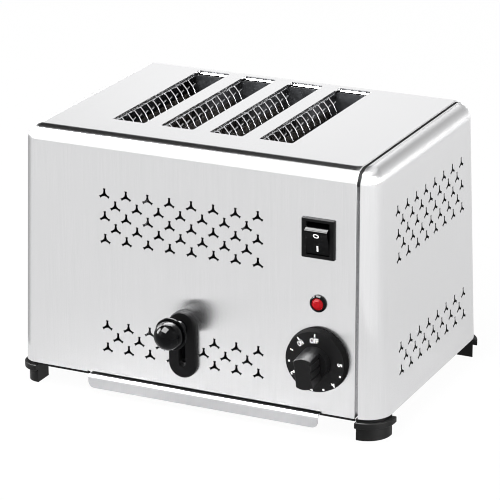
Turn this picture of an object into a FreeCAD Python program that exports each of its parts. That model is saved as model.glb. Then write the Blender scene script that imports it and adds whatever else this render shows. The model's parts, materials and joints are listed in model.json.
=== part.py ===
import FreeCAD, Part
import math
import os

V = FreeCAD.Vector
os.makedirs("parts", exist_ok=True)

# Body: millimetres, X to the right, Y to the back, Z up, floor at zero
footHeight = 17.0
bodyHeight = 190.5
bodyDepth = 204.0
bodyHalfWidth = 150.6          # at the bottom edge
endFlare = 2.2                 # degrees that each end leans inwards going up
leftCorner = 12.0              # outside radius of the shell's upright corners
rightCorner = 20.0             # outside radius of the end cover's upright corners
topBend = 12.0                 # outside radius of the bends round the top
sheet = 1.0                    # stainless sheet of the casing
coverDrop = 0.7                # the end cover lies this far below the shell's face
seamIn = 20.8                  # middle of the groove between shell and cover, from the body's end
seamGap = 2.3
returnDepth = 6.0              # depth of the turned-in edges along the groove
edgeRoll = 0.7                 # radius of the shell's rolled edge there
skinShare = 0.2                # depth into the sheet that still counts as its outer edge
tongueReach = 6.0              # cover's tongue under the shell
hemWidth = 14.0                # turned-in bottom edge of shell and cover
fitGap = 0.3                   # clearance between neighbouring sheets
ballReach = 36.5               # how far the lever's ball stands in front of the panel
glandReach = 12.0              # how far the cable gland stands out behind
past = 5.0                     # how far a cutting body passes the face that it cuts
drillClear = 0.1               # a fixing hole's radius above its screw's or thread's
near = 0.01                    # tolerance for picking edges
fixNear = 0.0001               # tolerance for mending the rolled edge's seams
uprightShare = 0.9             # an edge is upright when it rises by this share of its length
straightShare = 0.999

# Bread slots and chamber
slotCount = 4
slotWidth = 27.0
slotPitch = 40.6
firstSlotX = -75.0
slotFrontIn = 40.8             # from the front panel to the slot
slotLength = 147.0
slotCorner = 1.5
slotLip = 1.0                  # depth of the turned-down slot edge
slotFlange = (1.0, 1.4)        # reach and fall of the sloping flange at the slot's far end
chamberFrontIn = 38.3          # from the front panel to the chamber's front plate
chamberRearIn = 181.8
chamberSheet = 1.0
chamberTopDrop = 2.6           # chamber plates end this far below the top
rearTabDrop = 2.2              # the rear plate's tabs inside the slots end this far below the top
rearTabClear = 1.5             # between a tab or flange and the slot's side
chamberSideGap = 10.5          # from the outer slot edge to the heat shield
crumbInset = 9.0               # the base plate's opening lies this far inside the heat shields
crumbInsetEnds = 6.0           # and this far inside the chamber plates
crumbCorner = 4.0

# Star vents
ventPitch = 18.0
ventRow = 8.95
ventColumns = 8
ventUpperRows = 5
ventLowerRows = 3
ventLowerDrop = 105.0          # from the upper group's first row to the lower group's
ventArm = 4.6
ventWaist = (2.85, 0.75)       # reach and half width of an arm at its waist
ventTip = 1.1                  # half width of its end
ventNotch = 1.35               # reach of the corner between two arms
ventHiddenIn = 2.5             # a star is left out where its middle lies this far under the escutcheon
ventFrontX = -74.8             # first column of the front panel
ventFrontZ = 162.0
ventEndIn = 40.4               # first column of the ends, from the front panel
ventEndZ = 166.9

# Bread guards and racks
wireRadius = 0.65
railRadius = 0.9
guardWires = 13
guardPitch = 10.2
guardFirstIn = 47.6            # first wire, from the front panel
guardRailOut = 1.6             # top rail, outside the slot's edge
guardRailDrop = 3.5            # top rail, below the top
kneeIn = 2.6
kneeDrop = 8.4
bendIn = 5.4
bendDrop = 14.2
guardBottomZ = 72.0
tangLength = 4.5
tangRise = 0.9
rackRestZ = 112.0              # middle of the rack's strip with the lever up
rackHeight = 8.0
rackThick = 1.5
rackTail = 6.0                 # how far the strip passes the rear plate
rackSlotClear = 0.6
prongCount = 7
prongLength = 10.0
prongRadius = 1.0
prongInset = 10.0              # first prong behind the slot's front end
prongSpanLess = 30.0           # the prongs' span is shorter than the slot by this

# Lever, carriage and springs
leverX = -10.0
leverZ = 68.7                  # rod with the lever up
leverTravel = 28.1
leverRodRadius = 2.0
leverShoulder = 2.5            # added radius of the rod's shoulder
leverShoulderLong = 3.0
leverEndClear = 0.6            # rod to slot end with the lever down
leverTopClear = 1.2
leverSideClear = 0.75
rodInBall = 2.0                # the rod ends this far from the ball's centre
ballOut = 25.0                 # ball's centre in front of the panel
ballRadius = 11.1
ballRingRadius = 12.8          # the ring round the ball
ballRingBack = 3.4             # its middle behind the ball's centre
ballRingThick = 1.8
ballRingRound = 0.8
ballNeckRadius = 5.2
ballCollarRadius = 6.2
ballCollarOut = 7.0            # collar's back face in front of the panel
ballCollarThick = 2.0
ballCollarFlare = 3.5          # length of the flare from neck to collar
escutcheonTop = 79.9
escutcheonBottom = 27.2
escutcheonWidth = 23.0
escutcheonThick = 4.0
escutcheonChamfer = 1.6
escutcheonSlotDrop = 1.6       # its slot ends this far below the panel's slot
carriageIn = 20.0              # carriage plate's front face behind the panel
carriageThick = 1.5
carriageTop = 118.0
carriageBottom = 62.0
carriageSideIn = 4.0           # carriage ends inside the chamber's width
lugHalf = 8.0                  # half the width of the carriage's lugs
lugReach = 7.0                 # lugs behind the guide rod's axis
lugThick = 2.0
rodRadius = 3.0
rodTop = 158.0
rodBack = 8.0                  # guide rod's axis behind the carriage plate's front face
runningFit = 0.06
bushRadius = 5.0
springRadius = 5.6
springBore = 3.6
bracketHeight = 10.0
bracketHalf = 9.0
bracketLead = 6.0              # bracket in front of the guide rod's axis
bracketDrop = 2.0              # bracket's top below the rod's end
magnetWidth = 24.0
magnetIn = 3.0                 # magnet behind the carriage plate's front face
magnetYoke = 4.0               # height of the yoke below the magnet's window
armatureThick = 2.0

# Heating boards
boardThick = 0.8
boardBottom = 66.0
boardTop = 190.0
ribbonCount = 9
ribbonHeight = 2.4
ribbonThick = 0.3
ribbonInset = 5.0              # ribbons end this far from the chamber plates

# Control side
controlIn = 51.0               # middle of the control side, from the body's end
rockerZ = 152.7
rockerBezelWidth = 26.2
rockerBezelHeight = 30.4
rockerBezelThick = 1.8
rockerBezelCorner = 1.0
rockerBezelChamfer = 0.6
rockerBodyWidth = 22.0
rockerBodyHeight = 27.6
rockerBodyDeep = 17.0
rockerPivotIn = 4.5            # pin behind the panel's face
rockerCavityBack = 4.0         # room behind the paddle
rockerPinRadius = 1.2
rockerPinHold = 1.5            # the pin enters the paddle this far at each side
rockerPinRoot = 1.0            # and the housing
tabWidth = 6.0                 # four flat terminals behind the rocker switch
tabThick = 0.8
tabLong = 8.0
tabSpread = (6.0, 7.0)
paddleWidth = 17.6
paddleRadius = 12.2            # reach of the paddle about its pin
paddleVertexOut = 7.5          # middle of the front face before the pin
paddleEdge = (9.0, 9.4)        # front edge at each end: before the pin, and above or below it
paddleEnd = (-2.2, 12.0)       # where the slanted end meets the cavity
paddleBack = (-4.0, 11.4)
paddleSwing = 30.0
paddleClear = 0.35
lampZ = 102.8
lampRadius = 6.5
lampBezelThick = 2.2
lampBezelChamfer = 1.0
lampBodyRadius = 4.9
lampBodyDeep = 22.0
lampHoleDeep = 8.0             # hollow behind the lens
lampSeatLip = 0.4              # step that the lens rests on
lampSeatOut = 0.6              # the seat before the panel
lampLensRadius = 4.6
lampLensEdge = 1.2             # thickness of the lens's round edge
lampLensOut = 3.4
lampFacets = 8
lampFacetBase = 0.94           # share of the lens's radius where the facets start
lampFacetTop = 0.55            # and where they end
lampNutRadius = 8.0
nutThick = 3.0
timerZ = 59.4
skirtRadius = 24.5
skirtTaper = 1.2
skirtBackOut = 1.2
skirtFaceOut = 6.6
gripRadius = 12.05             # boss and grip are cut from one rod of this radius
bossOut = 6.0                  # boss before the skirt's face
gripWidth = 13.4
gripFrontOut = 28.0
gripFrontDrop = 2.1            # the rod leans down: its middle at the grip's front below the shaft's axis
gripTurn = 6.0                 # degrees, anticlockwise seen from the front
gripEdge = 0.8
gripGrooves = (-5.5, 0.0, 5.5)
gripGrooveRadius = 0.9
timerBodyWidth = 46.0
timerBodyHeight = 50.0
timerBodyDeep = 30.0
timerBodyCorner = 6.0
timerFlange = 1.2              # timer's mounting flange
timerFlangeOut = 5.0           # the flange passes the case by this above and below
timerFlangeIn = 4.0            # and is narrower at each side by this
timerBellRadius = 16.0
timerBellDeep = 7.0
timerShaftRadius = 3.0
timerShaftOut = 18.0
timerShaftIn = 20.0            # shaft inside the timer
timerScrewIn = 2.6             # screws from the flange's ends
timerScrewHead = (2.4, 2.0)    # radius and height
panelHoleClear = 0.5

# Base, tray and feet
baseThick = 1.0
trayLeftIn = 8.0               # from the left heat shield
trayRightIn = 50.1             # from the body's end
trayPlateTop = 16.0
trayLipBottom = 5.6
trayLipOut = 3.0               # lip's front face in front of the panel
trayBend = 3.0
trayCorner = 5.0
trayFloor = 6.5
panCorner = 4.0
trayFlange = 9.0               # running flange on each side of the pan
trayFrontFlange = 20.0
trayLength = 170.0
trayNotch = 1.2                # front edge raised over the tray
trayNotchSide = 2.0
trayNotchBack = 30.0           # the notch in the base ends this far before the back wall
railClear = 0.3
railThick = 1.0
railShelfIn = 3.0              # the shelf ends this far before the pan
railFoot = 9.0
railBackGap = 4.0
legInset = 1.3                 # legs inside the body's outline
leftLeg = (12.0, 16.2)         # width and depth of each leg
rightFrontLeg = (20.0, 21.0)
rightRearLeg = (20.0, 13.0)
flangeOut = 2.2                # the feet's flange outside the body's outline
flangeBottom = 10.2
flangeTop = 15.2
flangeRound = 0.8
screwRadius = 1.75
screwShift = 0.8               # feet's screws inwards from the middle of the leg
screwHead = (3.0, 2.2)         # radius and height
screwCross = (1.0, 4.0)        # width and length of its slot
screwCrossDeep = 1.0
footBore = 2.0
footCounterbore = 3.4
footCounterboreDeep = 6.0
footNutRadius = 3.5

# Mains side
glandSide = 12.4               # gland to the right of the control side's middle
glandZ = 36.0
glandBore = 3.6
glandThread = 7.5
glandThreadIn = 8.0            # thread inside the back wall
glandFlange = (3.0, 5.0)       # added radius, and thickness
glandDome = 1.5                # the dome's radius is the thread's plus and minus this
glandNut = 10.5
glandNutDeep = 6.0
terminalSize = (30.0, 18.0, 14.0)
terminalLeft = 6.0             # left of the control side's middle
terminalIn = 60.0              # from the back wall
wellPitch = 10.0
wellFirst = 5.0
wellRadius = 2.5
wellFloor = 8.0
terminalScrew = (2.3, 3.0)     # radius and height

# Values that follow from the sizes above
bodyBottom = footHeight
seamX = bodyHalfWidth - seamIn
controlX = bodyHalfWidth - controlIn
glandX = controlX + glandSide
trayRight = bodyHalfWidth - trayRightIn
bodyTop = bodyBottom + bodyHeight
yFront = -(bodyDepth + glandReach - ballReach) / 2
yBack = yFront + bodyDepth
slotXs = [firstSlotX + i * slotPitch for i in range(slotCount)]
slotFront = yFront + slotFrontIn
slotBack = slotFront + slotLength
plateFront = yFront + chamberFrontIn
plateRear = yFront + chamberRearIn
chamberLeft = slotXs[0] - slotWidth / 2 - chamberSideGap
chamberRight = slotXs[-1] + slotWidth / 2 + chamberSideGap
chamberTop = bodyTop - chamberTopDrop
trayLeft = chamberLeft + trayLeftIn
hemTop = bodyBottom + sheet
baseTop = hemTop + baseThick
boardInset = (slotPitch - slotWidth) / 2
boardXs = [slotXs[0] - slotWidth / 2 - boardInset + i * slotPitch for i in range(slotCount + 1)]
leverSlotBottom = leverZ - leverTravel - leverRodRadius - leverEndClear
leverSlotTop = leverZ + leverRodRadius + leverTopClear
leverSlotHalf = leverRodRadius + leverSideClear
carriageFront = yFront + carriageIn
rodY = carriageFront + rodBack
rodXs = [boardXs[1], boardXs[3]]
pivotY = yFront + rockerPivotIn
middleY = (yFront + yBack) / 2
farOut = bodyHalfWidth + bodyDepth     # outside everything


# Small helpers
def block(x0, x1, y0, y1, z0, z1):
    return Part.makeBox(x1 - x0, y1 - y0, z1 - z0, V(x0, y0, z0))


def rodAlong(start, end, radius):
    run = end - start
    return Part.makeCylinder(radius, run.Length, start, run)


def rodAlongY(x, z, y0, y1, radius):
    return rodAlong(V(x, y0, z), V(x, y1, z), radius)


def prism(points, along):
    face = Part.Face(Part.makePolygon(points + [points[0]]))
    return face.extrude(along)


def hexagon(radius):
    angles = [math.radians(60 * i) for i in range(6)]
    return [(radius * math.cos(angle), radius * math.sin(angle)) for angle in angles]


def fuse(shapes):
    whole = shapes[0].multiFuse(shapes[1:]) if len(shapes) > 1 else shapes[0]
    return whole.removeSplitter()


def filletWhere(solid, radius, wanted):
    edges = [e for e in solid.Edges if wanted(e)]
    return solid.makeFillet(radius, edges)


def halfWidthAt(z):
    return bodyHalfWidth - (z - bodyBottom) * math.tan(math.radians(endFlare))


def isUpright(edge):
    run = edge.Vertexes[-1].Point - edge.Vertexes[0].Point
    return abs(run.z) > uprightShare * run.Length


def isAlongY(edge):
    run = edge.Vertexes[-1].Point - edge.Vertexes[0].Point
    return abs(run.y) > straightShare * run.Length


def roundedPlate(x0, x1, z0, z1, y0, y1, radius):
    return filletWhere(block(x0, x1, y0, y1, z0, z1), radius, isAlongY)


def obround(x, halfWidth, z0, z1, y0, y1):
    middle = block(x - halfWidth, x + halfWidth, y0, y1, z0 + halfWidth, z1 - halfWidth)
    ends = [rodAlongY(x, z, y0, y1, halfWidth) for z in (z0 + halfWidth, z1 - halfWidth)]
    return fuse([middle] + ends)


def save(name, shape):
    shape.exportStep("parts/" + name + ".step")
    print(name, len(shape.Solids), round(shape.Volume, 1), shape.isValid())


# Casing: a flared box with rounded corners, made smaller by an inset on every face
def bodyForm(inset, low):
    top = bodyTop - inset
    corners = [
        V(-halfWidthAt(low) + inset, yFront + inset, low),
        V(halfWidthAt(low) - inset, yFront + inset, low),
        V(halfWidthAt(top) - inset, yFront + inset, top),
        V(-halfWidthAt(top) + inset, yFront + inset, top),
    ]
    form = prism(corners, V(0, bodyDepth - 2 * inset, 0))
    form = filletWhere(form, leftCorner - inset, lambda e: isUpright(e) and e.CenterOfMass.x < 0)
    form = filletWhere(form, rightCorner - inset, lambda e: isUpright(e) and e.CenterOfMass.x > 0)
    return filletWhere(form, topBend - inset, lambda e: e.BoundBox.ZMin > top - near)


def across(form, x0, x1):
    return form.common(block(x0, x1, yFront - past, yBack + past, 0, bodyTop + past))


def slab(form, z0, z1):
    return form.common(block(-farOut, farOut, yFront - past, yBack + past, z0, z1))


def starFace(centre, side, up):
    half = [(ventArm, ventTip), ventWaist]
    outline = [(out, -across) for out, across in reversed(half)] + half
    points = []
    for turn in (90, 210, 330):
        angle = math.radians(turn)
        along = side * math.cos(angle) + up * math.sin(angle)
        beside = side * -math.sin(angle) + up * math.cos(angle)
        points += [centre + along * out + beside * across for out, across in outline]
        between = math.radians(turn + 60)
        points.append(centre + (side * math.cos(between) + up * math.sin(between)) * ventNotch)
    return points


def ventGrid(start, topZ):
    places = []
    for group, rows in ((0, ventUpperRows), (ventLowerDrop, ventLowerRows)):
        for row in range(rows):
            odd = row % 2
            for column in range(ventColumns - odd):
                places.append((start + (column + odd / 2) * ventPitch, topZ - group - row * ventRow))
    return places


def underEscutcheon(x, z):
    insideX = abs(x - leverX) < escutcheonWidth / 2 - ventHiddenIn
    return insideX and escutcheonBottom + ventHiddenIn < z < escutcheonTop - ventHiddenIn


def frontVents():
    cutters = []
    for x, z in ventGrid(ventFrontX, ventFrontZ):
        if not underEscutcheon(x, z):
            star = starFace(V(x, yFront - past, z), V(1, 0, 0), V(0, 0, 1))
            cutters.append(prism(star, V(0, past + 2 * sheet, 0)))
    return Part.makeCompound(cutters)


def backVents():
    cutters = []
    for x, z in ventGrid(ventFrontX, ventFrontZ):
        star = starFace(V(x, yBack - 2 * sheet, z), V(1, 0, 0), V(0, 0, 1))
        cutters.append(prism(star, V(0, past + 2 * sheet, 0)))
    return Part.makeCompound(cutters)


def endVents(sign):
    cutters = []
    inner = halfWidthAt(bodyTop) - 3 * sheet
    outer = bodyHalfWidth + past
    for y, z in ventGrid(yFront + ventEndIn, ventEndZ):
        star = starFace(V(sign * inner, y, z), V(0, 1, 0), V(0, 0, 1))
        cutters.append(prism(star, V(sign * (outer - inner), 0, 0)))
    return Part.makeCompound(cutters)


def hem(inset):
    inside = bodyHalfWidth - inset - hemWidth
    opening = block(-inside, inside, yFront + inset + hemWidth, yBack - inset - hemWidth, 0, bodyTop)
    return slab(bodyForm(inset, bodyBottom), bodyBottom, hemTop).cut(opening)


def trayNotchCut():
    x0 = trayLeft - trayNotchSide
    x1 = trayRight + trayNotchSide
    return block(x0, x1, yFront - past, yBack - trayNotchBack, 0, bodyBottom + trayNotch)


def panelHoles():
    y0 = yFront - sheet
    y1 = yFront + 2 * sheet
    halfW = rockerBodyWidth / 2 + drillClear
    halfH = rockerBodyHeight / 2 + drillClear
    return [
        obround(leverX, leverSlotHalf, leverSlotBottom, leverSlotTop, y0, y1),
        rodAlongY(controlX, timerZ, y0, y1, timerShaftRadius + panelHoleClear),
        rodAlongY(controlX, lampZ, y0, y1, lampBodyRadius + drillClear),
        block(controlX - halfW, controlX + halfW, y0, y1, rockerZ - halfH, rockerZ + halfH),
        rodAlongY(glandX, glandZ, yBack - 2 * sheet, yBack + sheet, glandThread + drillClear),
    ]


def mainShell():
    outer = bodyForm(0, bodyBottom)
    skin = outer.cut(bodyForm(sheet, bodyBottom - past))
    edgeX = seamX - seamGap / 2
    skin = across(fuse([skin, hem(0)]), -farOut, edgeX)
    lip = across(outer.cut(bodyForm(returnDepth, bodyBottom - past)), edgeX - sheet, edgeX)
    shell = rollEdge(fuse([skin, lip]), edgeX)
    slots = []
    frames = []
    flanges = []
    for x in slotXs:
        x0 = x - slotWidth / 2
        x1 = x + slotWidth / 2
        hole = block(x0, x1, slotFront, slotBack, bodyTop - topBend, bodyTop + past)
        rim = block(x0 - sheet, x1 + sheet, slotFront - sheet, slotBack + sheet, bodyTop - sheet - slotLip,
                    bodyTop - sheet / 2)
        slots.append(filletWhere(hole, slotCorner, isUpright))
        frames.append(filletWhere(rim, slotCorner + sheet, isUpright))
        flanges.append(slotFarFlange(x))
    shell = fuse([shell] + frames).cut(Part.makeCompound(slots))
    shell = fuse([shell] + flanges)
    shell = shell.cut(frontVents()).cut(backVents()).cut(endVents(-1))
    return shell.cut(Part.makeCompound(panelHoles() + [trayNotchCut()] + footHoles()))


def slotFarFlange(x):
    reach, fall = slotFlange
    wide = slotWidth / 2 - rearTabClear
    high = bodyTop - sheet
    profile = [(slotBack + sheet / 2, high), (slotBack - reach, high - fall)]
    profile += [(y, z - sheet) for y, z in reversed(profile)]
    return prism([V(x - wide, y, z) for y, z in profile], V(2 * wide, 0, 0))


def rollEdge(solid, x):
    # rolls the outer edge of the skin where it turns in along the groove
    core = bodyForm(sheet * skinShare, bodyBottom - past)

    def outside(edge):
        box = edge.BoundBox
        if box.XLength > near or abs(box.XMin - x) > near:
            return False
        spot = edge.valueAt((edge.FirstParameter + edge.LastParameter) / 2)
        return not core.isInside(spot, near / 10, True) and edge.Length > topBend / 2

    rolled = filletWhere(solid, edgeRoll, outside)
    rolled.fix(fixNear, fixNear, near)
    return rolled


def endCover():
    edgeX = seamX + seamGap / 2
    depth = returnDepth + fitGap
    inner = bodyForm(depth + sheet, bodyBottom - past)
    hollow = across(bodyForm(coverDrop + sheet, bodyBottom - past), edgeX + sheet, farOut)
    mouth = across(inner, edgeX - past, edgeX + sheet)
    skin = across(bodyForm(coverDrop, bodyBottom), edgeX, farOut).cut(hollow).cut(mouth)
    turnedIn = across(hem(coverDrop), edgeX, farOut)
    tongue = across(bodyForm(depth, bodyBottom).cut(inner), edgeX - tongueReach, edgeX)
    tongue = slab(tongue, hemTop + fitGap, bodyTop)
    return fuse([skin, turnedIn, tongue]).cut(endVents(1)).cut(Part.makeCompound(footHoles()))


# Base plate inside the casing's turned-in edge, open under the bread chamber
def basePlate():
    plate = slab(bodyForm(sheet + coverDrop + fitGap, hemTop), hemTop, baseTop)
    x0 = chamberLeft + crumbInset
    x1 = chamberRight - crumbInset
    crumbs = block(x0, x1, plateFront + crumbInsetEnds, plateRear - crumbInsetEnds, 0, bodyTop)
    edgeX = seamX + seamGap / 2
    depth = returnDepth + sheet + 2 * fitGap
    x0 = edgeX - tongueReach - fitGap
    x1 = edgeX + sheet + fitGap
    notches = [block(x0, x1, yFront, yFront + depth, 0, bodyTop)]
    notches.append(block(x0, x1, yBack - depth, yBack, 0, bodyTop))
    return plate.cut(Part.makeCompound(footHoles() + notches + [filletWhere(crumbs, crumbCorner, isUpright)]))


# Feet: a leg and a flange that follow the casing's corner, held by a screw from below
def footPlaces():
    legs = [
        ("left_front", -1, -1, leftLeg),
        ("left_rear", -1, 1, leftLeg),
        ("right_front", 1, -1, rightFrontLeg),
        ("right_rear", 1, 1, rightRearLeg),
    ]
    places = []
    for name, side, end, (wide, deep) in legs:
        innerX = side * (bodyHalfWidth - legInset - wide)
        innerY = middleY + end * (bodyDepth / 2 - legInset - deep)
        x = innerX + side * (wide / 2 - screwShift)
        y = innerY + end * (deep / 2 - screwShift)
        places.append((name, side, end, innerX, innerY, x, y))
    return places


def footOutline(grow, z0, z1):
    half = bodyHalfWidth + grow
    plate = block(-half, half, yFront - grow, yBack + grow, z0, z1)
    plate = filletWhere(plate, leftCorner + grow, lambda e: isUpright(e) and e.CenterOfMass.x < 0)
    return filletWhere(plate, rightCorner + grow, lambda e: isUpright(e) and e.CenterOfMass.x > half - near)


def foot(side, end, innerX, innerY, x, y):
    x0, x1 = sorted((innerX, side * farOut))
    y0, y1 = sorted((innerY, end * farOut))
    corner = block(x0, x1, y0, y1, 0, footHeight)
    leg = footOutline(-legInset, 0, footHeight).common(corner)
    flange = footOutline(flangeOut, flangeBottom, flangeTop).common(corner)
    body = fuse([leg, flange])
    rims = [e for e in body.Edges if isFlangeRim(e)]
    body = body.makeFillet(flangeRound, rims)
    body = body.cut(rodAlong(V(x, y, 0), V(x, y, footHeight), footBore))
    return body.cut(rodAlong(V(x, y, 0), V(x, y, footCounterboreDeep), footCounterbore))


def isFlangeRim(edge):
    box = edge.BoundBox
    level = min(abs(box.ZMin - flangeBottom), abs(box.ZMin - flangeTop)) < near and box.ZLength < near
    spot = edge.valueAt((edge.FirstParameter + edge.LastParameter) / 2)
    legs = footOutline(-legInset + near, 0, footHeight)
    return level and not legs.isInside(spot, near / 10, True)


def footHoles():
    holes = []
    for name, side, end, innerX, innerY, x, y in footPlaces():
        holes.append(rodAlong(V(x, y, 0), V(x, y, baseTop + past), screwRadius + drillClear))
    return holes


def footScrews():
    headRadius, headHeight = screwHead
    wide, long = screwCross
    seat = footCounterboreDeep
    screws = []
    for name, side, end, innerX, innerY, x, y in footPlaces():
        shank = rodAlong(V(x, y, seat), V(x, y, baseTop + nutThick), screwRadius)
        head = rodAlong(V(x, y, seat - headHeight), V(x, y, seat), headRadius)
        crossTop = seat - headHeight + screwCrossDeep
        cross = block(x - wide / 2, x + wide / 2, y - long / 2, y + long / 2, 0, crossTop)
        screws.append(fuse([shank, head]).cut(cross))
    return Part.makeCompound(screws)


def footNuts():
    nuts = []
    for name, side, end, innerX, innerY, x, y in footPlaces():
        nut = prism([V(x + a, y + b, baseTop) for a, b in hexagon(footNutRadius)], V(0, 0, nutThick))
        bore = rodAlong(V(x, y, baseTop - past), V(x, y, baseTop + nutThick + past), screwRadius)
        nuts.append(nut.cut(bore))
    return Part.makeCompound(nuts)


# Crumb tray: a shallow pan with running flanges and a front edge bent down into a lip
def crumbTray():
    top = trayPlateTop
    front = yFront - trayLipOut
    back = front + trayLength
    panFront = yFront + trayFrontFlange
    plate = block(trayLeft, trayRight, front + trayBend, back, top - sheet, top)
    axis = (V(trayLeft, front + trayBend, top - trayBend), V(trayRight, front + trayBend, top - trayBend))
    bend = rodAlong(axis[0], axis[1], trayBend).cut(rodAlong(axis[0], axis[1], trayBend - sheet))
    bend = bend.common(block(trayLeft, trayRight, front - past, front + trayBend, top - trayBend, top + past))
    lip = block(trayLeft, trayRight, front, front + sheet, trayLipBottom, top - trayBend)
    lip = filletWhere(lip, trayCorner, lambda e: isAlongY(e) and e.CenterOfMass.z < trayLipBottom + near)
    x0 = trayLeft + trayFlange
    x1 = trayRight - trayFlange
    y1 = back - trayFlange
    pan = filletWhere(block(x0, x1, panFront, y1, trayFloor, top), panCorner, isUpright)
    inside = block(x0 + sheet, x1 - sheet, panFront + sheet, y1 - sheet, trayFloor + sheet, top + past)
    return fuse([plate, bend, lip, pan]).cut(filletWhere(inside, panCorner - sheet, isUpright))


def trayRails():
    rails = []
    y0 = yFront + trayFrontFlange
    y1 = yBack - hemWidth - railBackGap
    low = trayPlateTop - sheet - railClear
    for sign, edge in ((-1, trayLeft), (1, trayRight)):
        web = edge + sign * railClear
        shelf = sorted((edge - sign * (trayFlange - railShelfIn), web + sign * railThick))
        wall = sorted((web, web + sign * railThick))
        seat = sorted((web, web + sign * railFoot))
        rails.append(fuse([
            block(shelf[0], shelf[1], y0, y1, low - railThick, low),
            block(wall[0], wall[1], y0, y1, low - railThick, hemTop),
            block(seat[0], seat[1], y0, y1, hemTop - railThick, hemTop),
        ]))
    return Part.makeCompound(rails)


# Chamber: front and rear plates with slots for the racks, and a shield on each side
def chamberPlate(y0, hasTabs):
    plate = block(chamberLeft - sheet, chamberRight + sheet, y0, y0 + chamberSheet, baseTop, chamberTop)
    if hasTabs:
        wide = slotWidth / 2 - rearTabClear
        tabs = [block(x - wide, x + wide, y0, y0 + chamberSheet, chamberTop - sheet, bodyTop - rearTabDrop)
                for x in slotXs]
        plate = fuse([plate] + tabs)
    half = rackThick / 2 + rackSlotClear
    low = rackRestZ - rackHeight / 2 - leverTravel - rackSlotClear
    high = rackRestZ + rackHeight / 2 + rackSlotClear
    cuts = [block(x - half, x + half, y0 - past, y0 + chamberSheet + past, low, high) for x in slotXs]
    return plate.cut(Part.makeCompound(cuts))


def heatShield(x0):
    return block(x0, x0 + sheet, plateFront + chamberSheet, plateRear, baseTop, chamberTop)


def heaterBoard(x):
    half = boardThick / 2
    return block(x - half, x + half, plateFront + chamberSheet, plateRear, boardBottom, boardTop)


def ribbons(x):
    strips = []
    step = (boardTop - boardBottom) / ribbonCount
    y0 = plateFront + chamberSheet + ribbonInset
    y1 = plateRear - ribbonInset
    for i in range(ribbonCount):
        z = boardBottom + (i + 0.5) * step
        for side in (-1, 1):
            face = x + side * boardThick / 2
            x0, x1 = sorted((face, face + side * ribbonThick))
            strips.append(block(x0, x1, y0, y1, z - ribbonHeight / 2, z + ribbonHeight / 2))
    return Part.makeCompound(strips)


# Bread guard: bent wires on a rail above and a rail below, one on each side of a slot
def guardSide(x, sign):
    edge = x - sign * slotWidth / 2
    railX = edge - sign * guardRailOut
    y0 = plateFront + chamberSheet
    top = bodyTop - guardRailDrop
    knee = V(edge + sign * kneeIn, 0, bodyTop - kneeDrop)
    bend = V(edge + sign * bendIn, 0, bodyTop - bendDrop)
    foot = V(edge + sign * bendIn, 0, guardBottomZ)
    parts = [rodAlongY(x, z, y0, plateRear, railRadius) for x, z in ((railX, top), (foot.x, foot.z))]
    for i in range(guardWires):
        y = V(0, yFront + guardFirstIn + i * guardPitch, 0)
        start = V(railX, 0, top) + y
        parts.append(rodAlong(start, knee + y, wireRadius))
        parts.append(Part.makeSphere(wireRadius, knee + y))
        parts.append(rodAlong(knee + y, bend + y, wireRadius))
        parts.append(Part.makeSphere(wireRadius, bend + y))
        parts.append(rodAlong(bend + y, foot + y, wireRadius))
        parts.append(rodAlong(knee + y, knee + y + V(0, tangLength, tangRise), wireRadius))
    return fuse(parts)


def breadRack(x):
    y0 = carriageFront + carriageThick
    y1 = plateRear + chamberSheet + rackTail
    half = rackThick / 2
    strip = block(x - half, x + half, y0, y1, rackRestZ - rackHeight / 2, rackRestZ + rackHeight / 2)
    step = (slotLength - prongSpanLess) / (prongCount - 1)
    z = rackRestZ + rackHeight / 2 - prongRadius
    prongs = []
    for i in range(prongCount):
        y = slotFront + prongInset + i * step
        prongs.append(rodAlong(V(x - prongLength / 2, y, z), V(x + prongLength / 2, y, z), prongRadius))
    return fuse([strip] + prongs)


# Lever: rod, ball, carriage plate, bushes, guide rods, springs and hold-down magnet
def leverRod():
    rod = rodAlongY(leverX, leverZ, yFront - ballOut + rodInBall, carriageFront, leverRodRadius)
    shoulder = rodAlongY(leverX, leverZ, carriageFront - leverShoulderLong, carriageFront,
                         leverRodRadius + leverShoulder)
    return fuse([rod, shoulder])


def leverBall():
    middle = yFront - ballOut
    ball = Part.makeSphere(ballRadius, V(leverX, middle, leverZ))
    ringFront = middle + ballRingBack - ballRingThick / 2
    ring = rodAlongY(leverX, leverZ, ringFront, ringFront + ballRingThick, ballRingRadius)
    ring = ring.makeFillet(ballRingRound, [e for e in ring.Edges if isRound(e)])
    neckEnd = yFront - ballCollarOut
    neck = rodAlongY(leverX, leverZ, middle, neckEnd, ballNeckRadius)
    flareStart = neckEnd - ballCollarThick - ballCollarFlare
    flare = Part.makeCone(ballNeckRadius, ballCollarRadius, ballCollarFlare, V(leverX, flareStart, leverZ),
                          V(0, 1, 0))
    collar = rodAlongY(leverX, leverZ, neckEnd - ballCollarThick, neckEnd, ballCollarRadius)
    bore = rodAlongY(leverX, leverZ, middle + rodInBall, yFront, leverRodRadius)
    return fuse([ball, ring, neck, flare, collar]).cut(bore)


def isRound(edge):
    return edge.Curve.TypeId == "Part::GeomCircle"


def carriagePlate():
    x0 = chamberLeft + carriageSideIn
    x1 = chamberRight - carriageSideIn
    face = carriageFront + carriageThick
    lugs = []
    for x in rodXs:
        for z in (carriageBottom, carriageTop - lugThick):
            lug = block(x - lugHalf, x + lugHalf, face, rodY + lugReach, z, z + lugThick)
            lugs.append(lug.cut(rodAlong(V(x, rodY, z - past), V(x, rodY, z + lugThick + past), bushRadius)))
    return fuse([block(x0, x1, carriageFront, face, carriageBottom, carriageTop)] + lugs)


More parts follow.
